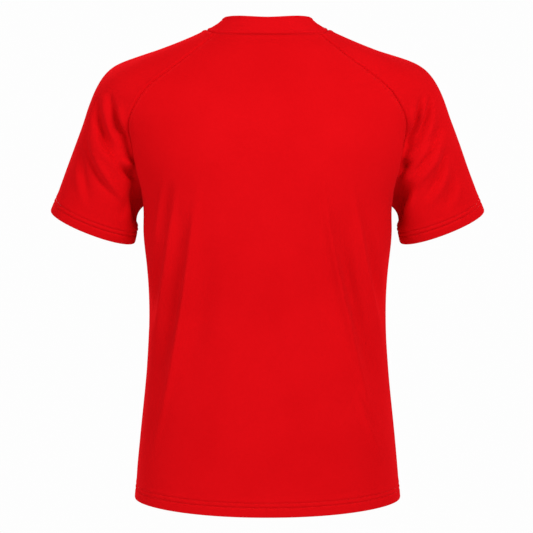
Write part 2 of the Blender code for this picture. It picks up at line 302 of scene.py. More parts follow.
ARM_SLOPE = 0.21  # how much a sleeve slice falls towards the back, because the arm hangs forward
print(len(TORSO), "slices of the torso and", len(SLEEVE), "of a sleeve")


# %% Small curves and vectors
def spline(xs, ys, at):
    """The natural cubic spline through (xs, ys), read at each value of at. Its second derivatives
    solve one linear system, in which neighbouring cubics share slope and bend."""
    xs, ys, at = (np.asarray(v, float) for v in (xs, ys, at))
    step = np.diff(xs)
    slope = np.diff(ys) / step
    system, right = np.eye(len(xs)), np.zeros(len(xs))
    for i in range(1, len(xs) - 1):
        system[i, i - 1 : i + 2] = step[i - 1], 2 * (step[i - 1] + step[i]), step[i]
        right[i] = 6 * (slope[i] - slope[i - 1])
    bend = np.linalg.solve(system, right)
    i = np.clip(np.searchsorted(xs, at) - 1, 0, len(xs) - 2)
    before, after, h = xs[i + 1] - at, at - xs[i], step[i]
    curved = (before**3 * bend[i] + after**3 * bend[i + 1]) / (6 * h)
    straight = (ys[i] / h - h * bend[i] / 6) * before
    return curved + straight + (ys[i + 1] / h - h * bend[i + 1] / 6) * after


def ramp(value, start, length):
    """0 up to the start and 1 from a length beyond it, and between them 3 t^2 - 2 t^3."""
    t = np.clip((value - start) / length, 0, 1)
    return t * t * (3 - 2 * t)


def bell(distance, half_width):
    """1 on the line and e^-1 at the half width: exp(-(distance / half width)^2)."""
    return np.exp(-((distance / half_width) ** 2))


def unit(vectors):
    return vectors / np.linalg.norm(vectors, axis=-1, keepdims=True)


def run_along(points, axis):
    """The length run along a grid of points from its first row or column."""
    steps = np.linalg.norm(np.diff(points, axis=axis), axis=-1)
    start = np.zeros_like(np.take(steps, [0], axis=axis))
    return np.concatenate([start, np.cumsum(steps, axis=axis)], axis=axis)


def read_along(line, run, at):
    """Values given along a line, read at other lengths of it by straight steps between them."""
    return np.stack([np.interp(at, run, line[:, k]) for k in range(line.shape[1])], axis=-1)


def soften(values, rounds):
    """Each row becomes a quarter of each neighbour and half of itself, some rounds over. The first
    and the last row stay."""
    values = values.copy()
    for _ in range(rounds):
        values[1:-1] = (values[:-2] + 2 * values[1:-1] + values[2:]) / 4
    return values


# %% [markdown]
# The torso's slices are superellipses, |x / half width|^n + |y / depth|^n = 1. With n a little over 2
# they are rounder than a box and squarer than an ellipse, as a chest is.


# %% The torso and the seams
OUTWARD = {"back": 1, "front": -1}


def slice_of(face, z):
    """Half width, depth and power n of the torso's slice at a height."""
    height, half_width, back, front, square = TORSO.T
    depth = {"back": back, "front": front}[face]
    return [spline(height, column, z) for column in (half_width, depth, square)]


def torso_depth(face, x, z):
    """y of the body's surface: depth times (1 - |x / half width|^n)^(1 / n)."""
    half_width, depth, n = slice_of(face, z)
    inside = np.clip(1 - np.abs(x / half_width) ** n, 0, None) ** (1 / n)
    return depth * inside * OUTWARD[face]


def torso_side(face, y, z):
    """x of the body's surface: half width times (1 - |y / depth|^n)^(1 / n)."""
    half_width, depth, n = slice_of(face, z)
    return half_width * np.clip(1 - np.abs(y / depth) ** n, 0, None) ** (1 / n)


def torso_normal(face, x, z):
    """The outward normal of y = f(x, z): (-df/dx, 1, -df/dz), made one long."""
    nudge = 0.0005
    slope_x = (torso_depth(face, x + nudge, z) - torso_depth(face, x - nudge, z)) / (2 * nudge)
    slope_z = (torso_depth(face, x, z + nudge) - torso_depth(face, x, z - nudge)) / (2 * nudge)
    return OUTWARD[face] * unit(np.stack([-slope_x, np.ones_like(slope_x), -slope_z], axis=-1))


# How far apart rows lie, in metres along the sleeve's outer line: close at the neck and at the cuff,
# where there are stitch lines to show, and wider on plain cloth
NECK_ZONE, NECK_STEP = 0.012, 0.001
HEM_ZONE, FINE_STEP = 0.025, 0.0007
CLOTH_STEP = 0.0029

outer_line = SLEEVE[:, 4:7]
outer_run = run_along(outer_line, 0)
underarm_run, cuff_run = outer_run[UNDERARM_CUT], outer_run[-1]


def steps(start, end, step):
    return np.linspace(start, end, max(2, round(abs(end - start) / step) + 1))


near_neck = steps(0, NECK_ZONE, NECK_STEP)
raglan_at = np.concatenate([near_neck, steps(NECK_ZONE, underarm_run, CLOTH_STEP)[1:]])
to_hem = steps(underarm_run, cuff_run - HEM_ZONE, CLOTH_STEP)[1:]
hem_at = steps(cuff_run - HEM_ZONE, cuff_run, FINE_STEP)[1:]
sleeve_at = np.concatenate([raglan_at, to_hem, hem_at])
UNDERARM_ROW = len(raglan_at) - 1

cuts = {n: spline(outer_run, SLEEVE[:, i], sleeve_at) for i, n in enumerate(SLEEVE_NAMES)}
down = sleeve_at / underarm_run  # 0 at the neck and 1 at the underarm
print(len(sleeve_at), "rows down a sleeve,", UNDERARM_ROW, "of them along the raglan seam")


SEAM_KNOTS = 15  # even steps that the seam's depth is read at
LOW_SEAM, LOW_LENGTH = 0.80, 0.12  # where the seam's turn begins, and over what share of it


def seam_points(face):
    """The raglan seam at the back or front, then the underarm line down to the cuff. It lies on the
    torso. Low down its depth is a spline through knots, which rounds the turn under the arm."""
    x, z = cuts[f"{face}_x"].copy(), cuts[f"{face}_z"]
    knots = np.linspace(0, underarm_run, SEAM_KNOTS)
    at_knots = [spline(outer_run, SLEEVE[:, SLEEVE_NAMES.index(f"{face}_{k}")], knots) for k in "xz"]
    y = spline(knots, torso_depth(face, *at_knots), sleeve_at)
    low = ramp(down, LOW_SEAM, LOW_LENGTH)
    rag = slice(0, UNDERARM_ROW)
    x[rag] += (low * (torso_side(face, y, z) - x))[rag]
    y[rag] = torso_depth(face, x[rag], z[rag])
    share = np.clip((UNDERARM_HEIGHT - z) / (UNDERARM_HEIGHT - z[-1]), 0, 1)
    y[UNDERARM_ROW:] = cuts["outer_y"][-1] * share[UNDERARM_ROW:]
    return np.stack([x, y, z], axis=1)


# %% [markdown]
# A row of the sleeve is a cubic Bézier curve from the seam to the outer line. Its first handle lies in
# the body's own surface near the neck, so the cloth runs over the seam without a break, and turns
# back along the arm lower down, where a real armhole folds.


# %% The sleeve's plain form
ARC_SAMPLES = 60
BY_NECK, BY_ARM = 0.2, 0.6  # shares of the seam where the neck's and the arm's direction hold


def sleeve_half(face):
    """Bézier rows (1-u)^3 A + 3u(1-u)^2 B + 3u^2(1-u) C + u^3 D from seam A to outer line D."""
    start = seam_points(face)
    end = np.stack([cuts["outer_x"], cuts["outer_y"], cuts["outer_z"]], axis=1)
    outward = OUTWARD[face]
    by_arm = ramp(down, 0, BY_ARM)[:, None]
    slanted = unit(np.array([0.0, outward, -outward * ARM_SLOPE]))
    backs = slanted * by_arm + np.array([0.0, outward, 0.0]) * (1 - by_arm)
    rag = slice(0, UNDERARM_ROW)
    normal = torso_normal(face, start[rag, 0], start[rag, 2])
    chord = end[rag] - start[rag]
    along = unit(chord - (chord * normal).sum(1)[:, None] * normal)
    climb = 2 * NECK_DIP[face] / start[0, 0]
    rise = -(normal[:, 0] + climb * normal[:, 2]) / normal[:, 1]
    neckline = unit(np.stack([1 + 0 * rise, rise, climb + 0 * rise], axis=1))
    by_neck = 1 - ramp(down[rag], 0, BY_NECK)[:, None]
    in_plane = unit(neckline * by_neck + along * (1 - by_neck))
    turn = cuts["turn"][rag, None]
    leaving = backs.copy()
    leaving[rag] = unit(in_plane * (1 - turn) + backs[rag] * turn)
    reach = (cuts["fullness"] * np.linalg.norm(end - start, axis=1))[:, None]
    u = np.linspace(0, 1, ARC_SAMPLES + 1)[None, :, None]
    handles = [start, start + reach * leaving, end + reach * backs, end]
    weights = [(1 - u) ** 3, 3 * u * (1 - u) ** 2, 3 * u**2 * (1 - u), u**3]
    return sum(w * h[:, None, :] for w, h in zip(weights, handles))


SLEEVE_COLUMNS, PANEL_COLUMNS = 165, 142
TURN_ROUNDS, TURN_REACH, TURN_EDGE = 150, 0.045, 0.030  # how the armhole's turn is averaged out

# Columns stand at these distances from either seam, and evenly between
SEAM_STEPS = np.array([0, 0.5, 1.0, 1.6, 2.3, 3.1, 4.0, 5.0, 6.0, 7.2, 8.8]) / 1000


def even_out(grid, middle_columns):
    """The same rows with new columns: SEAM_STEPS from both ends and equal steps in the middle."""
    run = run_along(grid, 1)
    length = run[:, -1:]
    share = np.linspace(0, 1, middle_columns + 1)[1:-1]
    middle = SEAM_STEPS[-1] + (length - 2 * SEAM_STEPS[-1]) * share
    near = np.broadcast_to(SEAM_STEPS, (len(grid), len(SEAM_STEPS)))
    wanted = np.concatenate([near, middle, length - SEAM_STEPS[::-1]], axis=1)
    return np.array([read_along(*row) for row in zip(grid, run, wanted)])


back_half, front_half = sleeve_half("back"), sleeve_half("front")
all_round = np.concatenate([back_half, front_half[:, -2::-1]], axis=1)
plain_sleeve = even_out(all_round, SLEEVE_COLUMNS)

# The armhole's turn would leave a dent right across the arm. Away from the seam it is averaged out.
run = run_along(plain_sleeve, 1)
off_seam = ramp(np.minimum(run, run[:, -1:] - run), 0, TURN_EDGE)
near_turn = bell(sleeve_at - underarm_run, TURN_REACH)[:, None]
mixed = (off_seam * near_turn)[..., None]
plain_sleeve += mixed * (soften(plain_sleeve, TURN_ROUNDS) - plain_sleeve)
print("sleeve grid", plain_sleeve.shape[:2], "half round at the cuff", end=" ")
print(round(1000 * run_along(plain_sleeve, 1)[-1, -1] / 2), "mm")

# %% [markdown]
# A panel's rows are level slices of the torso. Below the underarm they reach from side seam to side
# seam, and above it each row ends on the same raglan seam points that the sleeve starts from. Towards
# the neck the rows sag, so that the last one is the neckline: shallow behind, deep in front.

# %% The panels' plain form
PANEL_SAMPLES = 200
ANGLE_ROUNDS = 40
SPREAD_LOW, SPREAD_LESS = 90, 40  # degrees below the underarm, and how many fewer at the neck


def from_edge(points, edge):
    """Distance from one edge of a grid: the run along the grid line that leaves it, times the sine of
    the angle between that line and the edge."""
    across = edge.endswith("row")
    last = edge.startswith("last")
    grid = points.swapaxes(0, 1) if across else points
    grid = grid[:, ::-1] if last else grid
    border = unit(np.gradient(grid[:, 0], axis=0))
    leaving = unit(grid[:, 4] - grid[:, 0])
    sine = soften(np.linalg.norm(np.cross(leaving, border), axis=1), ANGLE_ROUNDS)
    away = run_along(grid, 1) * sine[:, None]
    away = away[:, ::-1] if last else away
    return away.swapaxes(0, 1) if across else away


levels = np.concatenate(
    [
        steps(HEM_HEIGHT, HEM_HEIGHT + HEM_ZONE, FINE_STEP),
        steps(HEM_HEIGHT + HEM_ZONE, UNDERARM_HEIGHT, CLOTH_STEP)[1:-1],
    ]
)
RAGLAN_START = len(levels)  # the row of a panel at the underarm


def plain_panel(face):
    """Rows x = end * sin(spread * u) / sin(spread), which crowd where the side turns away, with
    z = end height - dip * (1 - (x / end)^2) and y from the torso."""
    seam = seam_points(face)[UNDERARM_ROW::-1]
    sides = spline(TORSO[:, 0], TORSO[:, 1], levels)
    end_x = np.concatenate([sides, seam[:, 0]])[:, None]
    end_z = np.concatenate([levels, seam[:, 2]])[:, None]
    above = np.concatenate([0 * levels, 1 - down[UNDERARM_ROW::-1]])[:, None]
    near_hem = np.clip(1 - (end_z - HEM_HEIGHT) / HEM_DROP_REACH, 0, 1) ** 2
    spread = np.radians(SPREAD_LOW - SPREAD_LESS * above)
    u = np.linspace(-1, 1, PANEL_SAMPLES + 1)[None, :]
    x = end_x * np.sin(spread * u) / np.sin(spread)
    sag = 1 - (x / end_x) ** 2
    z = end_z - (NECK_DIP[face] * above**2 + HEM_DROP[face] * near_hem) * sag
    y = torso_depth(face, x, z)
    y[:, [0, -1]] = np.concatenate([0 * levels, seam[:, 1]])[:, None]
    return even_out(np.stack([x, y, z], axis=-1), PANEL_COLUMNS)


plain = {face: plain_panel(face) for face in ("back", "front")}
print("panel grid", plain["back"].shape[:2])

# %% [markdown]
# ## Creases, seams and hems
#
# Filled cloth isn't smooth. It hangs in long soft folds from the underarms, bunches into short deep
# ones where the sleeve turns, and pulls in along every line of stitches. A cloth simulation would
# drop folds wherever it liked. Here each fold is a path with its own height and width, so the back
# gets the folds that this shirt has, and the hidden sides get others like them.


# %% What makes a fold
FULLNESS = 1.2  # at 1 a fold swells like a sine, and above it its ends are finer


def distance_to_path(x, z, path):
    """For each point: how far it is from a smooth path in the x-z plane, signed by side, and the share
    of the path's length at its nearest place."""
    run = run_along(path, 0)
    fine = np.linspace(0, run[-1], 8 * (len(path) - 1) + 1)
    path = np.stack([spline(run, path[:, k], fine) for k in (0, 1)], axis=1)
    best = np.full(x.shape, np.inf)
    side, share = np.ones_like(x), np.zeros_like(x)
    for (x0, z0), (x1, z1), s0, s1 in zip(path[:-1], path[1:], fine[:-1], fine[1:]):
        dx, dz = x1 - x0, z1 - z0
        t = np.clip(((x - x0) * dx + (z - z0) * dz) / (dx * dx + dz * dz), 0, 1)
        away_x, away_z = x - x0 - t * dx, z - z0 - t * dz
        square = away_x**2 + away_z**2
        closer = square < best
        best = np.where(closer, square, best)
        side = np.where(closer, np.sign(away_x * -dz + away_z * dx), side)
        share = np.where(closer, (s0 + t * (s1 - s0)) / run[-1], share)
    return np.sqrt(best) * side, share


def folds(x, z, table):
    """The sum of all folds: height * bell(distance, width) * sin(pi * share^k)^FULLNESS. The power k
    puts the highest place at the peak, and lean makes one flank steeper than the other."""
    total = np.zeros_like(x)
    for height, width, peak, lean, path in table:
        off, share = distance_to_path(x, z, np.reshape(path, (-1, 2)) / 1000)
        swell = np.sin(np.pi * share ** (np.log(0.5) / np.log(peak))) ** FULLNESS
        total += 0.001 * height * bell(off, 0.001 * width * (1 + lean * np.sign(off))) * swell
    return total


def wander(x, z, phase):
    """Slow unevenness of hung cloth: a few sine waves across each other, under a millimetre."""
    waves = ((0.21, 40, 13), (0.17, -23, 31), (0.16, 61, -19), (0.10, 15, 74), (0.08, -83, 47))
    return 0.001 * sum(
        h * np.sin(a * x + b * z + phase * (i + 1)) for i, (h, a, b) in enumerate(waves)
    )


# %% [markdown]
# Each table row is a height and a half width, the place of the peak along the path, the lean, and the
# path itself as x, z, x, z and so on. Lengths are in millimetres here. A negative height is a trough.

# %% The folds of the back
BACK_FOLDS = [
    (5, 4.5, 0.45, 0, [98, -219, 111, -315, 124, -414, 147, -533, 174, -641]),
    (4, 13, 0.45, 0.3, [101, -241, 109, -316, 132, -468, 151, -556]),
    (4.7, 4.5, 0.45, 0, [131, -219, 142, -311, 159, -405, 167, -455]),
    (2.7, 4.5, 0.5, 0, [148, -209, 156, -258, 168, -340]),
    (-8.6, 11, 0.45, 0, [120, -263, 135, -387, 159, -498, 170, -554]),
    (-5.9, 8, 0.5, 0, [153, -307, 170, -402, 176, -447]),
    (-3.5, 7, 0.5, 0, [142, -219, 148, -263, 154, -306]),
    (-3.6, 16, 0.5, 0, [80, -283, 89, -369, 105, -456, 125, -542]),
    (5.9, 4.5, 0.45, 0, [-78, -214, -93, -315, -116, -424, -141, -528, -180, -621]),
    (4, 13, 0.45, -0.3, [-81, -241, -96, -326, -113, -408, -156, -567]),
    (5.7, 4.5, 0.45, 0, [-123, -225, -140, -327, -163, -433, -174, -484]),
    (-10.3, 11.5, 0.45, 0, [-101, -257, -111, -321, -136, -436, -169, -554]),
    (-6.5, 8, 0.5, 0, [-142, -274, -152, -328, -171, -429]),
    (4.2, 5, 0.5, 0, [-129, -516, -140, -560, -158, -605, -169, -634]),
    (-3.4, 16, 0.5, 0, [-57, -272, -71, -353, -86, -428, -106, -509]),
    (2.6, 22, 0.5, 0, [30, -420, 60, -540, 70, -640]),
    (2.4, 24, 0.5, 0, [-20, -300, -35, -450, -60, -600]),
]
print(len(BACK_FOLDS), "folds on the back")

# %% The folds of the front
FRONT_FOLDS = [
    (3.4, 4.5, 0.42, 0, [94, -235, 108, -330, 128, -430, 155, -548, 180, -640]),
    (4.5, 15, 0.45, 0, [96, -260, 112, -350, 138, -490, 160, -580]),
    (3.4, 4.5, 0.45, 0, [136, -232, 147, -320, 164, -430]),
    (-7.2, 11, 0.45, 0, [118, -280, 131, -370, 158, -492, 172, -560]),
    (-4.2, 7, 0.5, 0, [152, -290, 164, -360, 176, -432]),
    (-3.2, 16, 0.5, 0, [76, -320, 92, -420, 120, -560]),
    (3.6, 4.5, 0.38, 0, [-106, -250, -116, -335, -134, -430, -160, -552, -182, -650]),
    (4.2, 14, 0.42, 0, [-108, -270, -122, -372, -146, -500, -166, -590]),
    (3.1, 4.5, 0.5, 0, [-142, -230, -152, -322, -168, -428]),
    (-7.5, 10.5, 0.45, 0, [-126, -292, -139, -380, -160, -490, -174, -566]),
    (-3.5, 15, 0.5, 0, [-84, -320, -100, -440, -134, -590]),
    (3.6, 5, 0.5, 0, [140, -545, 157, -590, 174, -630]),
    (3.6, 18, 0.5, 0, [28, -330, 40, -450, 50, -590]),
    (3.4, 20, 0.5, 0, [-35, -360, -30, -480, -45, -620]),
    (1.6, 15, 0.45, 0, [150, -140, 118, -196, 84, -262]),
    (1.5, 16, 0.45, 0, [-146, -150, -112, -204, -74, -256]),
]
print(len(FRONT_FOLDS), "folds on the front")

# %% [markdown]
# The sleeves bunch most. A raglan sleeve has no seam over the shoulder to shape it, so its spare cloth
# gathers into a fan of folds that all run down to the underarm.

# %% The folds of the sleeves
SLEEVE_FOLDS = {
    ("left", "back"): [
        (-10.8, 4.2, 0.48, 0, [233, -91, 222, -129, 209, -166, 203, -184, 199, -202]),
        (4.8, 6, 0.5, 0, [219, -107, 214, -125, 210, -143, 207, -158]),
        (5.5, 5, 0.5, 0.1, [243, -88, 239, -112, 233, -135, 226, -157, 210, -186]),
        (-6.8, 4.5, 0.5, 0, [251, -95, 249, -121, 244, -146, 235, -168, 211, -202]),
        (4.3, 8, 0.5, 0, [258, -107, 258, -133, 252, -157, 242, -180, 211, -217]),
        (5.5, 5, 0.6, 0, [224, -182, 216, -190, 208, -199, 199, -206]),
        (-10.8, 4.5, 0.65, 0, [219, -194, 212, -203, 202, -213, 195, -224]),
        (-5.1, 5, 0.5, 0, [267, -147, 265, -173, 257, -199, 244, -221, 216, -256]),
        (5.5, 7, 0.5, 0.1, [260, -150, 255, -178, 244, -200, 230, -223, 201, -261]),
        (-3.5, 6, 0.5, 0, [276, -160, 275, -190, 271, -219, 259, -264]),
        (2.6, 7, 0.5, 0, [281, -183, 280, -209, 276, -235, 271, -256]),
        (-4.1, 7, 0.5, 0, [196, -235, 205, -251, 211, -268, 212, -281]),
        (-7, 4.5, 0.5, 0, [206, -172, 200, -196, 195, -222, 190, -245]),
        (-15.5, 10, 0.5, 0, [198, -215, 191, -242, 188, -266, 197, -302]),
    ],
    ("right", "back"): [
        (-10.8, 4.2, 0.52, 0, [230, -93, 223, -111, 215, -151, 202, -190, 198, -210]),
        (4.3, 5, 0.5, 0, [234, -95, 229, -115, 225, -134, 219, -155]),
        (-6.8, 4.2, 0.5, 0, [240, -91, 236, -113, 230, -134, 223, -153, 206, -182]),
        (4.3, 6, 0.5, 0, [217, -102, 213, -123, 211, -144, 206, -161]),
        (6, 7, 0.5, 0.1, [245, -101, 242, -127, 236, -152, 225, -171, 211, -189]),
        (-5.9, 4.5, 0.5, 0, [251, -140, 246, -163, 238, -182, 214, -212, 203, -225]),
        (4.6, 6, 0.5, 0, [254, -159, 250, -183, 239, -202, 214, -233]),
        (-11.5, 4.5, 0.55, 0, [213, -190, 206, -197, 199, -206, 195, -219]),
        (-4.6, 5.5, 0.5, 0, [261, -169, 257, -196, 249, -219, 228, -253]),
        (4.3, 7, 0.5, 0, [267, -182, 262, -209, 254, -232, 232, -266]),
        (-3.8, 6, 0.5, 0, [275, -206, 272, -230, 266, -251, 257, -268]),
        (2.9, 7, 0.5, 0, [283, -216, 281, -238, 275, -261]),
        (-6.8, 7, 0.5, 0, [210, -222, 204, -238, 193, -265]),
        (3.6, 7, 0.5, 0, [216, -235, 210, -256, 205, -275]),
        (-7.5, 4.5, 0.5, 0, [205, -168, 199, -194, 194, -222, 190, -248]),
        (-15.5, 10, 0.5, 0, [196, -216, 189, -242, 188, -265, 196, -302]),
    ],
    ("left", "front"): [
        (-9.7, 4.6, 0.5, 0, [222, -96, 213, -124, 205, -158, 198, -196]),
        (5.5, 6.5, 0.5, 0.1, [236, -96, 230, -128, 221, -158, 207, -188]),
        (-6.5, 5, 0.5, 0, [247, -112, 243, -144, 232, -172, 210, -204]),
        (5.3, 7, 0.5, 0.1, [259, -130, 254, -164, 241, -196, 212, -232]),
        (-10, 5, 0.6, 0, [221, -196, 210, -208, 196, -226]),
        (-4.9, 6, 0.5, 0, [270, -160, 264, -196, 248, -226, 222, -254]),
        (4.1, 8, 0.5, 0, [276, -192, 268, -222, 250, -252]),
        (-6.5, 4.5, 0.5, 0, [202, -176, 197, -200, 192, -226, 189, -246]),
        (-13, 10, 0.5, 0, [197, -216, 190, -244, 189, -268, 196, -300]),
    ],
    ("right", "front"): [
        (-9.5, 4.8, 0.52, 0, [218, -106, 210, -136, 203, -168, 197, -200]),
        (5.8, 6.5, 0.5, 0.1, [241, -92, 236, -124, 226, -154, 210, -184]),
        (-7, 5, 0.5, 0, [252, -122, 246, -156, 233, -184, 208, -212]),
        (4.8, 7, 0.5, 0.1, [264, -144, 257, -180, 243, -210, 214, -242]),
        (-9.5, 5, 0.6, 0, [217, -200, 208, -211, 195, -228]),
        (-4.3, 6, 0.5, 0, [273, -178, 266, -212, 250, -240, 226, -264]),
        (-6.5, 4.5, 0.5, 0, [201, -172, 197, -198, 192, -224, 189, -246]),
        (-13, 10, 0.5, 0, [196, -216, 189, -244, 188, -266, 195, -300]),
    ],
}
print({"_".join(k): len(v) for k, v in SLEEVE_FOLDS.items()}, "folds on the sleeves")

# %% [markdown]
# A hem is cloth turned up twice its stitch line and caught by a twin needle. The two lines of stitches
# draw it in, the cloth between them puffs up, and the doubled band below stands a little proud.


# %% Seams and hems as profiles
HEM_LINES = (0.0200, 0.0135)  # the two stitch lines, above the folded edge
TOPSTITCH = 0.0050  # beside the raglan seam, on the body


def hem_profile(away, along):
    """Height of the cloth above a hem's edge: two grooves at the stitch lines, a puff between them, a
    raised band below and a rounded edge. Slow puckers along the hem vary the puff a little."""
    pucker = 1 + 0.05 * np.sin(along / 0.0035 + 2 * np.sin(along / 0.017))
    upper, lower = HEM_LINES
    grooves = -0.75 * (bell(away - upper, 0.0010) + bell(away - lower, 0.0010))
    puff = 0.75 * pucker * bell(away - (upper + lower) / 2, 0.0021)
    band = 0.70 * (1 - ramp(away - lower, -0.003, 0.003))
    above = 0.45 * pucker * bell(away - upper - 0.0035, 0.0028)
    rounded = -0.55 * bell(away, 0.0008)
    return 0.001 * (grooves + puff + band + above + rounded)


def seam_profile(away, puff, puff_at, groove, width=0.0011):
    """Height of the cloth beside a plain seam: it dives into the join and rolls over next to it. The
    puff and the groove are in millimetres."""
    return 0.001 * (puff * bell(away - puff_at, 0.62 * puff_at) - groove * bell(away, width))


def topstitch_profile(away):
    """The narrow groove under a line of topstitching, and the faint ridge inside it."""
    return 0.001 * (0.10 * bell(away - 0.0032, 0.0014) - 0.20 * bell(away - TOPSTITCH, 0.0007))


def normals(points, sign):
    """Unit normals of a grid, from the cross product of its two directions. sign is 1 where columns
    cross rows so that this points outwards, and -1 otherwise."""
    return sign * unit(np.cross(np.gradient(points, axis=1), np.gradient(points, axis=0)))


# %% [markdown]
# The relief is added along the plain form's normals. Near a seam the free folds die away, since two
# layers of seam allowance stiffen the cloth there. Low on the raglan seam the body and the sleeve both
# sink towards the join: that is the dark fold under the arm.

# %% The finished panels
TUCK, TUCK_WIDTH = 0.0085, 0.0075  # how deep and wide the cloth sinks along the seam
TUCK_TOP, TUCK_GROWS = -0.125, 0.055  # the height it begins at, and the length it grows over
TUCK_END, TUCK_FADES = -0.330, 0.070  # the height it ends at, and the length it fades over

# Where free folds begin, away from each edge, and over what length they grow to their full height
CALM = {
    "panel": {"side": (0.002, 0.014), "neck": (0.006, 0.020), "hem": (0.016, 0.030)},
    "sleeve": {"side": (0.001, 0.006), "hem": (0.015, 0.022), "neck": (0.006, 0.020)},
}
PUFF = {"panel": (0.10, 0.6), "sleeve": (0.30, 1.0)}  # beside the long seams and the neck, in mm


def tuck(z, away):
    """The depth of the sunken seam: full from the underarm to some 70 mm above it, then fading out."""
    strength = ramp(-z, -TUCK_TOP, TUCK_GROWS) * ramp(z, TUCK_END, TUCK_FADES)
    return -TUCK * strength * bell(away, TUCK_WIDTH)


def edge_relief(kind, points, away):
    """What hems and seams add: the hem, the sunken underarm, and a puff and a groove at each seam."""
    side, neck = away["side"], away["neck"]
    by_side, by_neck = PUFF[kind]
    relief = hem_profile(away["hem"], run_along(points, 1)) + tuck(points[:, :1, 2], side)
    relief += seam_profile(side, by_side, 0.0035, 1.8, 0.0013) * ramp(neck, 0.001, 0.004)
    return relief + seam_profile(neck, by_neck, 0.0050, 0.6) * ramp(side, 0, 0.004)


def calmed(kind, relief, away):
    """Free folds, with the ones near an edge held down."""
    share = 1
    for edge, (start, length) in CALM[kind].items():
        share = share * ramp(away[edge], start, length)
    return relief * share


def finished_panel(face, table, phase):
    points = plain[face]
    x, z = points[..., 0], points[..., 2]
    side = np.minimum(from_edge(points, "first_column"), from_edge(points, "last_column"))
    hem, neck = from_edge(points, "first_row"), from_edge(points, "last_row")
    away = {"side": side, "hem": hem, "neck": neck}
    row = np.arange(len(points))[:, None]
    relief = calmed("panel", folds(x, z, table) + wander(x, z, phase), away)
    relief += edge_relief("panel", points, away)
    relief += topstitch_profile(side) * ramp(row, RAGLAN_START - 2, 6)
    outward = normals(points, -OUTWARD[face])
    return points + relief[..., None] * outward, outward, away


panels = {
    "back": finished_panel("back", BACK_FOLDS, 0.7),
    "front": finished_panel("front", FRONT_FOLDS, 2.9),
}

# Both panels end on one side seam
middle = (panels["back"][0][: RAGLAN_START + 1] + panels["front"][0][: RAGLAN_START + 1]) / 2
for points, *_ in panels.values():
    points[: RAGLAN_START + 1, [0, -1]] = middle[:, [0, -1]]
print("panels stand", round(1000 * np.ptp(panels["back"][0][..., 1]), 1), "mm deep at the back")


# %% The finished sleeves
MISS_BELOW, MISS_ASIDE = 0.016, 0.009  # how far the carrying reaches down the arm, and off the seam


def finished_sleeve(side, phase):
    """A sleeve with its folds, cuff and seams, whose raglan edges are then carried onto the panels'
    own edges, so the two meet exactly: each point moves by the miss at its row times a bell."""
    mirror = 1 if side == "left" else -1
    points = plain_sleeve.copy()
    x, z = points[..., 0], points[..., 2]
    share = np.linspace(0, 1, points.shape[1])[None, :]
    behind = 1 - ramp(share, 0.42, 0.16)
    back, front = from_edge(points, "first_column"), from_edge(points, "last_column")
    seam = np.minimum(back, front)
    cuff, neck = from_edge(points, "last_row"), from_edge(points, "first_row")
    away = {"side": seam, "hem": cuff, "neck": neck}
    relief = folds(x, z, SLEEVE_FOLDS[side, "back"]) * behind
    relief += folds(x, z, SLEEVE_FOLDS[side, "front"]) * (1 - behind)
    relief = calmed("sleeve", relief + wander(x, z + 3 * points[..., 1], phase), away)
    relief += edge_relief("sleeve", points, away)
    points[..., 0] *= mirror
    outward = normals(points, mirror)
    points += relief[..., None] * outward
    for face, column, near in (("back", 0, back), ("front", -1, front)):
        edge = panels[face][0][RAGLAN_START:, -1 if side == "left" else 0][::-1]
        miss = np.zeros((len(points), 3))
        miss[: UNDERARM_ROW + 1] = edge - points[: UNDERARM_ROW + 1, column]
        below = sleeve_at[UNDERARM_ROW:, None] - underarm_run
        miss[UNDERARM_ROW:] = miss[UNDERARM_ROW] * bell(below, MISS_BELOW)
        points += miss[:, None, :] * bell(near, MISS_ASIDE)[..., None]
    joined = (points[UNDERARM_ROW:, 0] + points[UNDERARM_ROW:, -1]) / 2
    points[UNDERARM_ROW:, 0] = points[UNDERARM_ROW:, -1] = joined
    return points, outward, away


sleeves = {"left": finished_sleeve("left", 1.3), "right": finished_sleeve("right", 4.1)}
print("sleeves reach x =", [round(1000 * s[0][..., 0].max()) for s in sleeves.values()], "mm")

# %% [markdown]
# ## Walls of cloth
#
# A surface has no thickness, but a hem seen from below does. `shell` joins an outer and an inner grid
# into one closed wall. Where the grid has a free border the two are bridged by a rim. Blender's
# Solidify does the same, yet with a grid of our own the wall can be thicker at the turned-up hem and
# at the seam allowances.

# %% From grids to a closed mesh
CLOTH = 0.0010
HEM_EXTRA = 0.0010
ALLOWANCE_EXTRA = 0.0007


def grid_index(grid):
    """The number of each point of a grid."""
    return np.arange(grid.shape[0] * grid.shape[1]).reshape(grid.shape[:2])


def quads_of(index):
    """Four corners for each cell of an index grid."""
    corners = [index[:-1, :-1], index[:-1, 1:], index[1:, 1:], index[1:, :-1]]
    return np.stack(corners, axis=-1).reshape(-1, 4)


def add_piece(name, points, faces, material):
    """A smooth mesh object from arrays of points and faces."""
    mesh = bpy.data.meshes.new(name)
    mesh.from_pydata(points.tolist(), [], faces.tolist())
    mesh.shade_smooth()
    mesh.materials.append(material)
    print(name, 2 * len(faces), "triangles")
    return add_object(name, mesh)


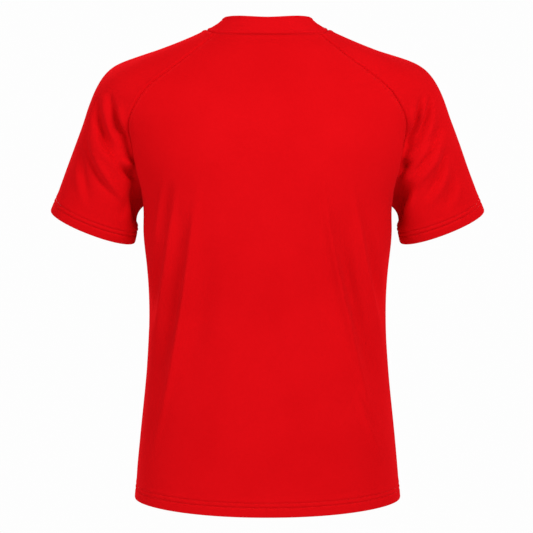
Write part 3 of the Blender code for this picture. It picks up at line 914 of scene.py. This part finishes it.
def shell(name, outer, inner, index, flip, weave, material):
    """A closed wall: the outer grid, the inner grid turned round, and rims. A border edge is one that
    no neighbouring cell runs the other way, so it is found by looking up each edge reversed. weave
    gives every grid point its place in the flat cloth, in metres, for the UV map."""
    used, number = np.unique(index, return_inverse=True)
    index = number.reshape(index.shape)
    count = len(used)
    points = np.concatenate([outer.reshape(-1, 3)[used], inner.reshape(-1, 3)[used]])
    face = quads_of(index)
    face_weave = quads_of(grid_index(weave))
    if flip:
        face, face_weave = face[:, ::-1], face_weave[:, ::-1]
    weave = weave.reshape(-1, 2)
    start, end = face.ravel(), np.roll(face, -1, axis=1).ravel()
    border = ~np.isin(start * count + end, end * count + start)
    start, end = start[border], end[border]
    flat_start = face_weave.ravel()[border]
    flat_end = np.roll(face_weave, -1, axis=1).ravel()[border]
    rim = np.stack([end, start, start + count, end + count], axis=1)
    rim_weave = np.stack([flat_end, flat_start, flat_start, flat_end], axis=1)
    faces = np.concatenate([face, face[:, ::-1] + count, rim])
    corners = np.concatenate([face_weave, face_weave[:, ::-1], rim_weave])
    piece = add_piece(name, points, faces, material)
    layer = piece.data.uv_layers.new(name="cloth")
    layer.data.foreach_set("uv", weave[corners.ravel()].astype(np.float32).ravel())
    return piece


# %% [markdown]
# ## The knit
#
# Sports polyester is a fine knit. Its columns of loops, the wales, are a millimetre apart, and each
# loop is a small V. In the UV map, where one unit is one metre of flat cloth, a wale is a triangle wave
# across, and the V comes from shifting a sine along the wale by the distance from its middle. The yarn
# is matt on top with a faint silk to it, which is a high roughness and a little red sheen. Broad clouds
# of tone and a fine mottle keep any stretch of it from being one flat colour, and the colour is made
# darker between the loops, which is painted shade in the knit's grooves.


# %% The cloth materials
def knit(name, light, dark, wale, course, depth, roughness):
    """Height of the yarn = (1 - w^2) * (0.6 + 0.4 sin(2 pi (v / course + w / 2))), where w runs from 0
    in the middle of a wale to 1 at its edges."""
    material, tree, shader = new_material(name)
    flat = tree.nodes.new("ShaderNodeUVMap")
    flat.uv_map = "cloth"
    parts = tree.nodes.new("ShaderNodeSeparateXYZ")
    tree.links.new(flat.outputs["UV"], parts.inputs[0])
    place = calc(tree, "FRACT", calc(tree, "DIVIDE", parts.outputs["X"], wale))
    w = calc(tree, "ABSOLUTE", calc(tree, "MULTIPLY_ADD", place, 2.0, -1.0))
    turns = calc(tree, "MULTIPLY_ADD", w, 0.5, calc(tree, "DIVIDE", parts.outputs["Y"], course))
    loop = calc(tree, "SINE", calc(tree, "MULTIPLY", turns, 2 * math.pi))
    crown = calc(tree, "SUBTRACT", 1.0, calc(tree, "MULTIPLY", w, w))
    yarn = calc(tree, "MULTIPLY", crown, calc(tree, "MULTIPLY_ADD", loop, 0.4, 0.6))

    body = tree.nodes.new("ShaderNodeTexCoord").outputs["Object"]
    fuzz = noise(tree, body, 1400, detail=3.0, roughness=0.65)
    slub = noise(tree, body, 260, detail=2.0)
    cloud = noise(tree, body, 9, detail=3.0, roughness=0.55)
    height = calc(tree, "MULTIPLY_ADD", fuzz, 0.25, yarn)
    height = calc(tree, "MULTIPLY_ADD", slub, 0.25, height)
    add_bump(tree, shader, height, 0.55, depth)

    tone = calc(tree, "MULTIPLY_ADD", cloud, 0.55, calc(tree, "MULTIPLY", slub, 0.25))
    # The yarn's height also darkens the colour between the loops: painted shade in the knit's grooves.
    tone = calc(tree, "MULTIPLY_ADD", yarn, 0.20, tone)
    tree.links.new(blend(tree, tone, dark, light), shader.inputs["Base Color"])
    rough = calc(tree, "MULTIPLY_ADD", slub, 0.14, roughness - 0.07)
    tree.links.new(rough, shader.inputs["Roughness"])
    shader.inputs["Specular IOR Level"].default_value = 0.0
    shader.inputs["Sheen Weight"].default_value = 0.30
    shader.inputs["Sheen Roughness"].default_value = 0.40
    shader.inputs["Sheen Tint"].default_value = (1.0, 0.03, 0.04, 1)
    return material


KNITS = {  # light, dark, width of a wale, height of a course, depth of the bumps, roughness
    "red_jersey_knit": (
        (0.70, 0.0046, 0.0076, 1), (0.52, 0.0020, 0.0036, 1), 0.00100, 0.00085, 0.00013, 0.70
    ),
    "red_collar_knit": (
        (0.70, 0.0048, 0.0084, 1), (0.54, 0.0024, 0.0044, 1), 0.00120, 0.00075, 0.00015, 0.74
    ),
}
body_cloth, band_cloth = (knit(name, *values) for name, values in KNITS.items())

thread, tree, shader = new_material("red_sewing_thread")
twist = tree.nodes.new("ShaderNodeTexCoord").outputs["Object"]
strand = noise(tree, twist, 900, detail=2.0)
tone = blend(tree, strand, (0.48, 0.002, 0.004, 1), (0.62, 0.004, 0.006, 1))
tree.links.new(tone, shader.inputs["Base Color"])
add_bump(tree, shader, strand, 0.3, 0.0001)
shader.inputs["Roughness"].default_value = 0.5
shader.inputs["Specular IOR Level"].default_value = 0.2
print([m.name for m in (body_cloth, band_cloth, thread)])


# %% [markdown]
# ## Cutting the pieces
#
# Each piece now gets its wall. The wale direction is the grid's own: u is the run along a row from the
# middle of the piece, and v the run along a column, so the knit follows the cloth over the shoulder
# and down the arm as cut cloth does.


# %% The panels and sleeves as cloth
def weave_of(points):
    """The flat place of each grid point: the run along its row from the middle, and along its column."""
    u = run_along(points, 1)
    u = u - u[:, u.shape[1] // 2][:, None]
    return np.stack([u, run_along(points, 0)], axis=-1)


def wall_of(outward, away):
    """From the outer to the inner face: one layer of cloth, two at the hem, and the allowance beside
    each seam."""
    thick = CLOTH + HEM_EXTRA * (1 - ramp(away["hem"], 0.0210, 0.0008))
    beside = np.minimum(away["side"], away["neck"])
    thick = thick + ALLOWANCE_EXTRA * (1 - ramp(beside, 0.0060, 0.0012))
    return -outward * np.minimum(thick, CLOTH + HEM_EXTRA)[..., None]


def cut_piece(name, made, index, flip, plain_points):
    points, outward, away = made
    inner = points + wall_of(outward, away)
    return shell(name, points, inner, index, flip, weave_of(plain_points), body_cloth)


cloth = {}
for face in ("back", "front"):
    index = grid_index(plain[face])
    cloth[face] = cut_piece(f"{face}_cloth", panels[face], index, face == "back", plain[face])
for side in ("left", "right"):
    index = grid_index(plain_sleeve)
    index[UNDERARM_ROW:, -1] = index[UNDERARM_ROW:, 0]  # the underarm seam closes the tube
    cloth[side] = cut_piece(f"sleeve_{side}_cloth", sleeves[side], index, side == "right", plain_sleeve)

# %% [markdown]
# ## The collar
#
# The collar is one band folded in half along its length, so its top edge is a soft roll and its two
# raw edges vanish into the neck seam. It follows the finished neckline of all four pieces and leans in
# more at the sides than at the back. Carrying a small profile round that ring makes it in one go.

# %% The neck ring
RING_POINTS = 320
COLLAR_WIDTH = 0.0285
COLLAR_LEAN = ((0, 10), (45, 23), (75, 50), (105, 60), (140, 48), (180, 36))  # bearing and degrees
NECK_CENTRE_Y = -0.012
FOLD_RADIUS = 0.0011
FOLD_LINE = 0.0046  # the shallow line, below the top edge
RISE_ROUNDS = 150
ROLL, ROLL_RADIUS = 0.0022, 0.010


def neck_ring():
    """The neck seam as a closed ring of even steps, from the middle of the back to the wearer's left,
    averaged with its neighbours until the joins between pieces no longer show."""
    back, front = panels["back"][0][-1], panels["front"][0][-1]
    half = len(back) // 2
    left, right = sleeves["left"][0][0], sleeves["right"][0][0]
    parts = [back[half:], left[1:-1], front[::-1], right[-2:0:-1], back[: half + 1]]
    line = np.concatenate(parts)
    run = run_along(line, 0)
    wanted = np.linspace(0, run[-1], RING_POINTS, endpoint=False)
    return ease(read_along(line, run, wanted), 3), run[-1]


def ease(ring, rounds):
    """Each point becomes a quarter of each neighbour and half of itself, some rounds over."""
    for _ in range(rounds):
        ring = (np.roll(ring, 1, axis=0) + 2 * ring + np.roll(ring, -1, axis=0)) / 4
    return ring


ring, neck_length = neck_ring()
print("neck seam", round(1000 * neck_length), "mm round")


# %% The collar band
def collar_profile():
    """Height up the band and distance outwards, for the outer and the inner face. The outer face has a
    roll over the neck seam, a flat, the shallow line beside the fold, and a quarter circle; the inner
    face is the same wall two fold radii further in."""
    flat = np.linspace(0, COLLAR_WIDTH - FOLD_RADIUS, 44)
    share = flat / COLLAR_WIDTH
    swell = 0.0005 * np.sin(np.pi * share) - 0.0009 * bell(flat - 0.019, 0.0055)
    relief = 0.0010 * bell(flat - 0.0034, 0.0022) - 0.0008 * bell(flat, 0.0010)
    from_line = flat - (COLLAR_WIDTH - FOLD_LINE)
    relief += 0.00035 * bell(from_line - 0.0022, 0.0014) - 0.00045 * bell(from_line, 0.0008)
    turn = np.radians(np.linspace(12, 84, 7))
    up = np.concatenate([flat, flat[-1] + FOLD_RADIUS * np.sin(turn)])
    out = np.concatenate([swell + relief, (swell + relief)[-1] + FOLD_RADIUS * (np.cos(turn) - 1)])
    behind = np.concatenate([swell, swell[-1] + FOLD_RADIUS * (1 - np.cos(turn))]) - 2 * FOLD_RADIUS
    return up, out, behind


bearing = np.degrees(np.arctan2(np.abs(ring[:, 0]), ring[:, 1] - NECK_CENTRE_Y))
lean = np.radians(spline(*np.array(COLLAR_LEAN, float).T, bearing))
along = unit(np.roll(ring, -1, axis=0) - np.roll(ring, 1, axis=0))
inward = unit(np.stack([along[:, 1], -along[:, 0], 0 * lean], axis=1))
upright = np.cross(inward, along)
rise = inward * np.sin(lean)[:, None] + upright * np.cos(lean)[:, None]
rise = unit(ease(rise, RISE_ROUNDS))
out = unit(np.cross(rise, along))

# The band stands highest at the corners of the back and lowest in its middle. Beside the neck it is
# hollow halfway up, and its top leans in.
taller = 1 + 0.10 * bell(bearing - 58, 26) - 0.05 * bell(bearing, 26)
beside_neck = bell(bearing - 78, 34)
up, outer_out, inner_out = (v[:, None] for v in collar_profile())
share = up / COLLAR_WIDTH
roll = -(ROLL * np.sin(0.85 * np.pi * share) + ROLL * ramp(share, 0.6, 0.5)) * beside_neck
height = (up * taller + roll**2 / (2 * ROLL_RADIUS))[..., None]
outer = ring + rise * height + out * (outer_out + roll)[..., None]
inner = ring + rise * height + out * (inner_out + roll)[..., None]
index = grid_index(outer)
index = np.concatenate([index, index[:, :1]], axis=1)
closed = np.concatenate([outer, outer[:, :1]], axis=1)
collar = shell("collar_band", outer, inner, index, True, weave_of(closed), band_cloth)

# %% [markdown]
# ## The stitches
#
# The hems and the raglan seams are sewn with thread that lies on the cloth, a stitch every three
# millimetres or so. Each stitch is a tiny capsule with its ends dipping into the cloth. One capsule is
# shaped once and then placed hundreds of times by array arithmetic, so it has only a few dozen faces.

# %% One stitch, many times
STITCH_PITCH = 0.0031
STITCH_LENGTH = 0.0025
THREAD_RADIUS = 0.00021
STITCH_SIDES = 6


def stitch_row(line, outward, sink):
    """Capsules along a line of points: along each stitch t runs -1 to 1, the thread's radius is
    r * sqrt(1 - t^4) and its middle stands up by 1 - t^2 of a radius. Returns points and faces."""
    run = run_along(line, 0)
    middles = np.arange(STITCH_PITCH / 2, run[-1], STITCH_PITCH)
    centre = read_along(line, run, middles)
    up = unit(read_along(outward, run, middles))
    ahead = unit(read_along(np.gradient(line, run, axis=0), run, middles))
    beside = unit(np.cross(up, ahead))
    t = np.array([-0.97, -0.6, 0.0, 0.6, 0.97])
    angle = np.linspace(0, 2 * np.pi, STITCH_SIDES, endpoint=False)
    radius = THREAD_RADIUS * np.sqrt(1 - t**4)
    forward = np.repeat(t * STITCH_LENGTH / 2, STITCH_SIDES)
    lift = np.repeat(THREAD_RADIUS * (1 - t**2) - sink, STITCH_SIDES)
    lift = lift + np.outer(radius, np.sin(angle)).ravel()
    aside = np.outer(radius, np.cos(angle)).ravel()
    points = centre[:, None]
    for direction, reach in ((ahead, forward), (up, lift), (beside, aside)):
        points = points + direction[:, None] * reach[:, None]
    each = len(forward)
    ring = np.arange(each).reshape(len(t), STITCH_SIDES)
    around = np.concatenate([ring, ring[:, :1]], axis=1)
    first, last = ring[0][[[0, 1, 2, 3], [0, 3, 4, 5]]], ring[-1][[[3, 2, 1, 0], [5, 4, 3, 0]]]
    one = np.concatenate([quads_of(around), first, last])
    faces = (one[None] + each * np.arange(len(centre))[:, None, None]).reshape(-1, 4)
    return points.reshape(-1, 3), faces


def line_at(points, outward, away, distance):
    """The line on a grid at a fixed distance from its edge, one point for each grid line crossed."""
    found = []
    for row, normal, d in zip(points, outward, away):
        order = np.argsort(d)
        both = np.concatenate([row, normal], axis=1)[order]
        found.append(read_along(both, d[order], distance))
    found = np.array(found)
    return found[:, :3], found[:, 3:]


def sew(name, rows):
    """One object from several rows of stitches."""
    all_points, all_faces, count = [], [], 0
    for points, faces in rows:
        all_points.append(points)
        all_faces.append(faces + count)
        count += len(points)
    return add_piece(name, np.concatenate(all_points), np.concatenate(all_faces), thread)


# %% Sewing the hems, cuffs and raglan seams
SINK = 0.00030
NEAR_HEM = 40  # rows from the hem's edge that both stitch lines lie within
SEAM_ENDS = 3  # rows of the raglan seam left out at each end
stitching = {}
for face in ("back", "front"):
    points, outward, away = panels[face]
    turned = [v[:NEAR_HEM].swapaxes(0, 1) for v in (points, outward, away["hem"])]
    rows = [stitch_row(*line_at(*turned, d), SINK) for d in HEM_LINES]
    half = points.shape[1] // 2
    for part in (slice(0, half), slice(half, None)):
        rows_used = slice(RAGLAN_START + SEAM_ENDS, -SEAM_ENDS)
        raglan = [v[rows_used, part] for v in (points, outward, away["side"])]
        rows.append(stitch_row(*line_at(*raglan, TOPSTITCH), SINK))
    stitching[face] = sew(f"{face}_stitching", rows)
for side in ("left", "right"):
    points, outward, away = sleeves[side]
    turned = [v[-NEAR_HEM:].swapaxes(0, 1) for v in (points, outward, away["hem"])]
    rows = [stitch_row(*line_at(*turned, d), SINK) for d in HEM_LINES]
    stitching[side] = sew(f"sleeve_{side}_stitching", rows)

# %% [markdown]
# ## Attaching the pieces
#
# Every piece is attached to the root, which it moves with, and the imported solid that it stands
# for is hidden. Each sheet's cut size is read from the table of cuts, but nothing is done with it.


# %% Sizes of the cuts
def flat_size(points, dip=None):
    """Width, length and area of a grid. The width is its longest row. The length is its longest
    column, or below a dipping neckline the middle column plus the dip. The area is half the cross
    product of each cell's diagonals, summed."""
    one, two = points[1:, 1:] - points[:-1, :-1], points[:-1, 1:] - points[1:, :-1]
    area = np.linalg.norm(np.cross(one, two), axis=-1).sum() / 2
    columns = run_along(points, 0)[-1]
    length = columns.max() if dip is None else columns[len(columns) // 2] + dip
    return run_along(points, 1)[:, -1].max(), length, area


sizes = {face: flat_size(plain[face], NECK_DIP[face]) for face in plain}
sizes["sleeve"], sizes["collar"] = flat_size(plain_sleeve), flat_size(closed)
for name, (width, length, area) in sizes.items():
    print(f"{name}: {width:.3f} m by {length:.3f} m, {area:.4f} square metres")

# %% Attaching the pieces and hiding the solids
NODES = {"back": "back_panel", "front": "front_panel", "left": "sleeve_left", "right": "sleeve_right"}
CUTS = {  # width, length and area, to within a millimetre of those printed above
    "back": (0.517, 0.715, 0.3165),
    "front": (0.514, 0.685, 0.3005),
    "left": (0.387, 0.404, 0.0900),
    "right": (0.387, 0.404, 0.0900),
}
for part, node in NODES.items():
    for piece in (cloth[part], stitching[part]):
        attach(piece, "root")
        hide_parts(node)
    width, length, area = CUTS[part]

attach(collar, "root")
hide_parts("collar")

# %% Measure and finish
new_box = [list(corner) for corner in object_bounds()]
grown = [[round(1000 * (n - c), 1) for n, c in zip(*pair)] for pair in zip(new_box, cad_box)]
print("past the packed box, in mm:", grown)
